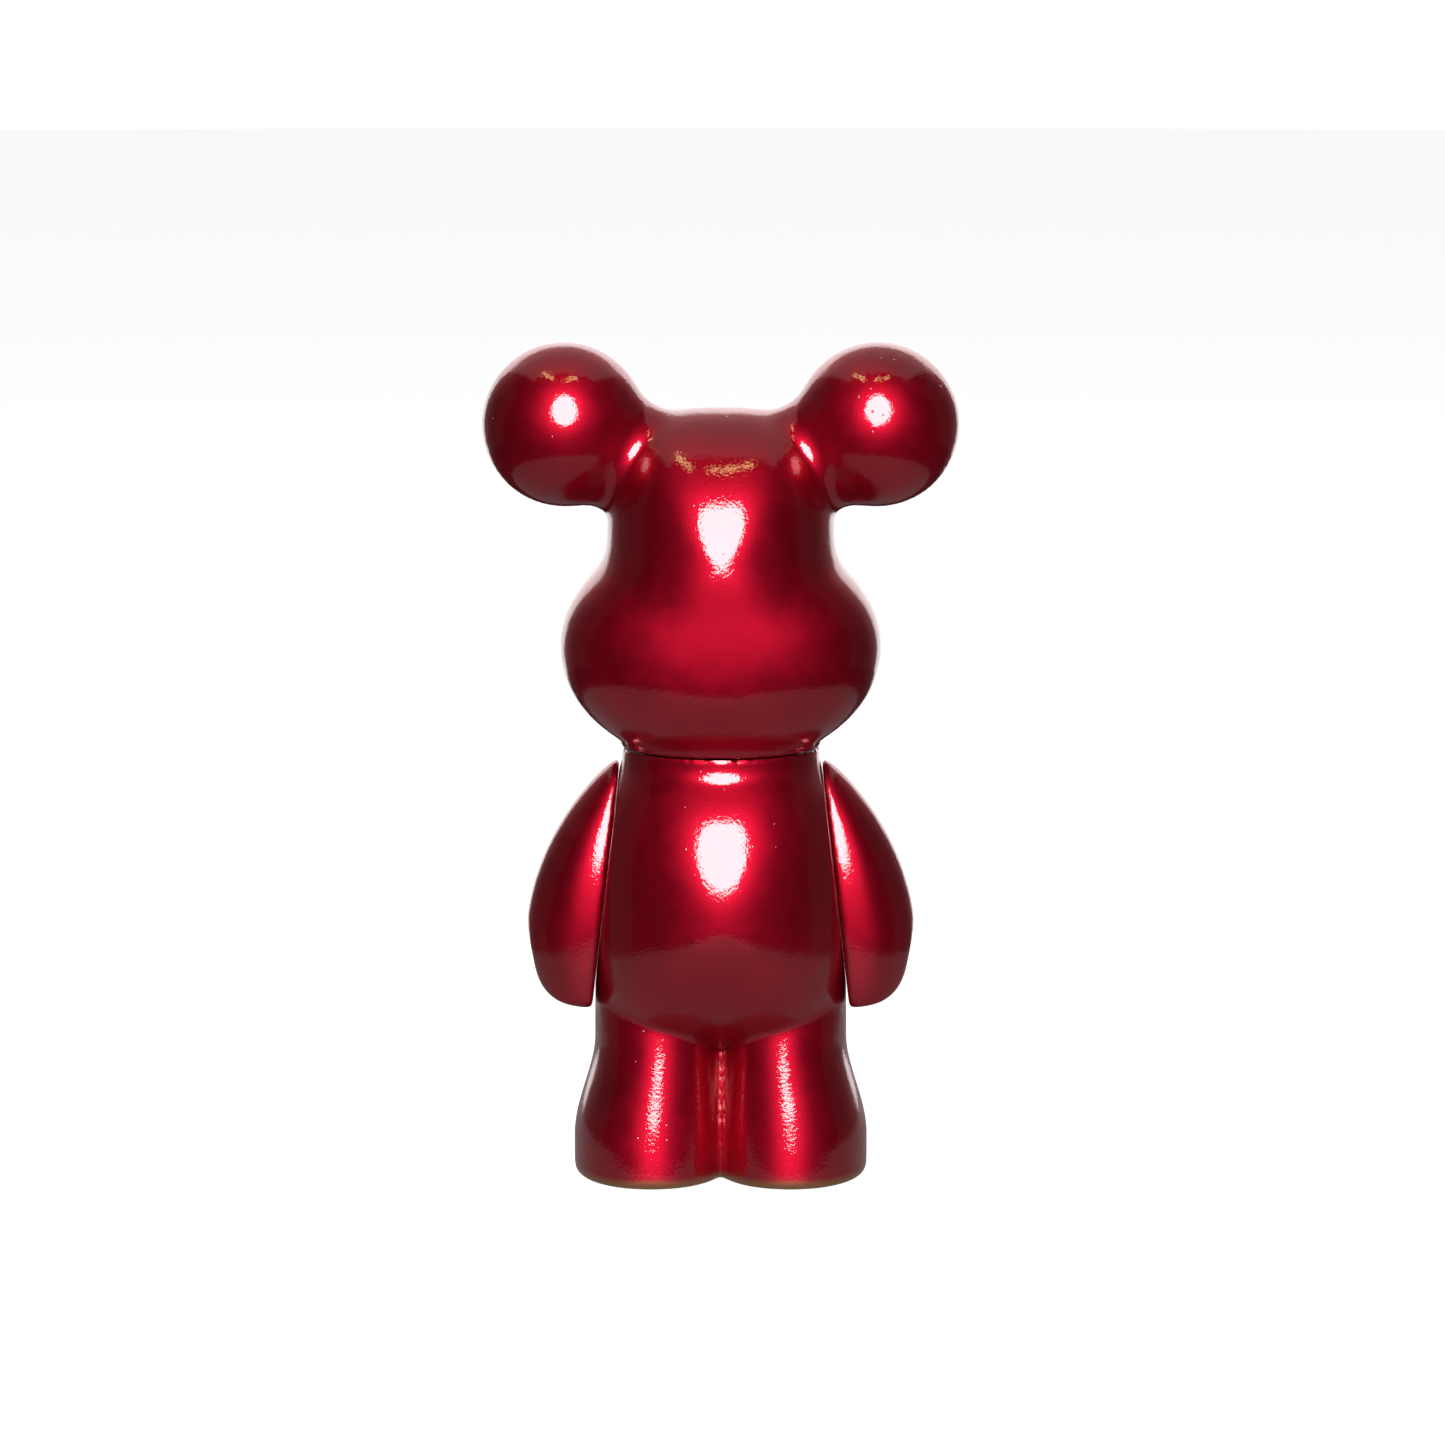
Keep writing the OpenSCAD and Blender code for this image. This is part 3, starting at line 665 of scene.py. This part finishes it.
arm_half_d = 0.0205
arm_half_h = 0.0575
arm_mid = neck_seam - 0.060
arc_back = 0.0534
elbow_w = 0.0224
arc_mid = (arm_face - arc_back, 0, neck_seam - 0.064)
arc_half = (arc_back + elbow_w, 2 * arm_half_d, 0.080)
hand_w = 0.0205
hand_half_h = 0.0182
hand_mid = (arm_face - 0.013, 0, hand_low + hand_half_h)
hand_splay = 0.21
arm_blend = 0.002
arm_wall = 0.0028
arm_hollow_cell = 0.002
plug_opening_r = 0.008
plug_opening_l = 0.0055


def arm_form(p):
    arc = egg(p, arc_mid, arc_half, 1.8, 1.8)
    lean = hand_splay * (p[2] - hand_mid[2])
    hand_half = (arm_face + hand_w - hand_mid[0], 1.6 * arm_half_d, hand_half_h)
    hand = egg([p[0] - lean, p[1], np.minimum(p[2], hand_mid[2])], hand_mid, hand_half, 4, 4)
    oval = egg([0 * p[0], p[1], p[2]], (0, 0, arm_mid), (1, arm_half_d, arm_half_h), 2, 2)
    return trim(trim(trim(arc, hand, edge_blend / 2), oval, arm_blend), -arm_side(p), edge_blend)


def at_shoulder(side):
    """Places a solid turned about Z on a shoulder's axis, with Z = 0 on the arm's flat side."""
    turn = Matrix.Rotation(pi / 2 - arm_lean, 4, "Y")
    return Matrix.Diagonal((side, 1, 1, 1)) @ Matrix.Translation((shoulder_x, 0, shoulder_z)) @ turn


def arm_hollow(p):
    return arm_form(p) + arm_wall


arm_low, arm_high = (np.array(c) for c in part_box("arm_left"))
for side, label in ((1, "left"), (-1, "right")):
    arm = skin(f"arm_casting_{label}", arm_form, arm_low - margin, arm_high + margin, cell)
    cut(arm, skin("hollow", arm_hollow, arm_low - 0.01, arm_high + 0.01, arm_hollow_cell))
    cut(arm, rod("plug_opening", plug_opening_r, -0.001, plug_opening_l, at_shoulder(1)))
    if side < 0:
        arm.data.transform(Matrix.Diagonal((-1, 1, 1, 1)))
        arm.data.flip_normals()
    spray(arm)
    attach(arm, f"arm_{label}")
    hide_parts(f"arm_{label}")


# ---- Neck and shoulder bearings -----------------------------------------------------------
# Hub, cup, bushes, shoulder plugs and the base plate are moulded in black nylon with a fine
# spark-eroded surface. They are hidden inside, and turn on each other with a running fit.

def moulded_nylon(name):
    material, tree, shader, place = fresh_material(name)
    dark, pale = (0.018, 0.018, 0.020, 1), (0.035, 0.034, 0.036, 1)
    tint = grade(tree, noise(tree, place, 60, 3), (0.3, dark), (0.7, pale))
    tree.links.new(tint, shader["Base Color"])
    tree.links.new(grade(tree, noise(tree, place, 300), (0.3, 0.42), (0.7, 0.58)), shader["Roughness"])
    tree.links.new(bump(tree, noise(tree, place, 2600, 4), 0.00002), shader["Normal"])
    return material


def finish_nodes(material, names):
    """Give frame nodes that are kept as they are their real finish."""
    for name in names:
        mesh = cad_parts[name].data
        mesh.materials.clear()
        mesh.materials.append(material)


finish_nodes(moulded_nylon("moulded_black_nylon"),
             ("neck_spool", "neck_cup", "shoulder_bush_left", "shoulder_bush_right",
              "shoulder_plug_left", "shoulder_plug_right", "base_plate"))


# ---- Snap ring, clips and screws ----------------------------------------------------------
# Spring-steel ring in the hub's groove, a clip on each shoulder pin, and four countersunk
# screws through the base plate, all zinc plated.

def zinc_plate(name):
    material, tree, shader, place = fresh_material(name)
    shader["Metallic"].default_value = 1.0
    dull, bright = (0.50, 0.51, 0.53, 1), (0.68, 0.68, 0.66, 1)
    tint = grade(tree, noise(tree, place, 180, 4), (0.3, dull), (0.7, bright))
    tree.links.new(tint, shader["Base Color"])
    tree.links.new(grade(tree, noise(tree, place, 900, 3), (0.3, 0.24), (0.7, 0.42)), shader["Roughness"])
    tree.links.new(bump(tree, noise(tree, place, 3000, 2), 0.00001), shader["Normal"])
    return material


finish_nodes(zinc_plate("zinc_plated_steel"),
             ("neck_snap_ring", "shoulder_clip_left", "shoulder_clip_right", "base_screws"))


# ---- Sole pad -----------------------------------------------------------------------------
# Thin closed-cell foam rubber, cut to the outline of both feet with a soft edge and stuck
# under the base plate. It carries the figure and keeps the lacquered rim off the shelf.

pad_inset = 0.0015
pad_low, pad_high = (np.array(c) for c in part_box("sole_pad"))
pad_half_t = (pad_high[2] - pad_low[2]) / 2


def pad_form(p):
    outline = body_core([p[0], p[1], 0 * p[2] + pad_high[2]]) + wall + pad_inset
    return trim(outline, np.abs(p[2] - pad_half_t) - pad_half_t, 0.0001)


def foam_rubber(name):
    material, tree, shader, place = fresh_material(name)
    dark, dusty = (0.012, 0.012, 0.013, 1), (0.030, 0.029, 0.028, 1)
    tint = grade(tree, noise(tree, place, 90, 3), (0.3, dark), (0.7, dusty))
    tree.links.new(tint, shader["Base Color"])
    tree.links.new(grade(tree, noise(tree, place, 500), (0.3, 0.78), (0.7, 0.92)), shader["Roughness"])
    pores = cells(tree, place, 1900)["Distance"]
    tree.links.new(bump(tree, pores, 0.0001), shader["Normal"])
    return material


pad_cell = 0.0009
pad_margin = margin_cells * pad_cell
pad = skin("foam_sole_pad", pad_form, pad_low - pad_margin, pad_high + pad_margin, pad_cell)
smooth(pad)
pad.data.materials.append(foam_rubber("closed_cell_foam"))
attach(pad, "body")
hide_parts("sole_pad")
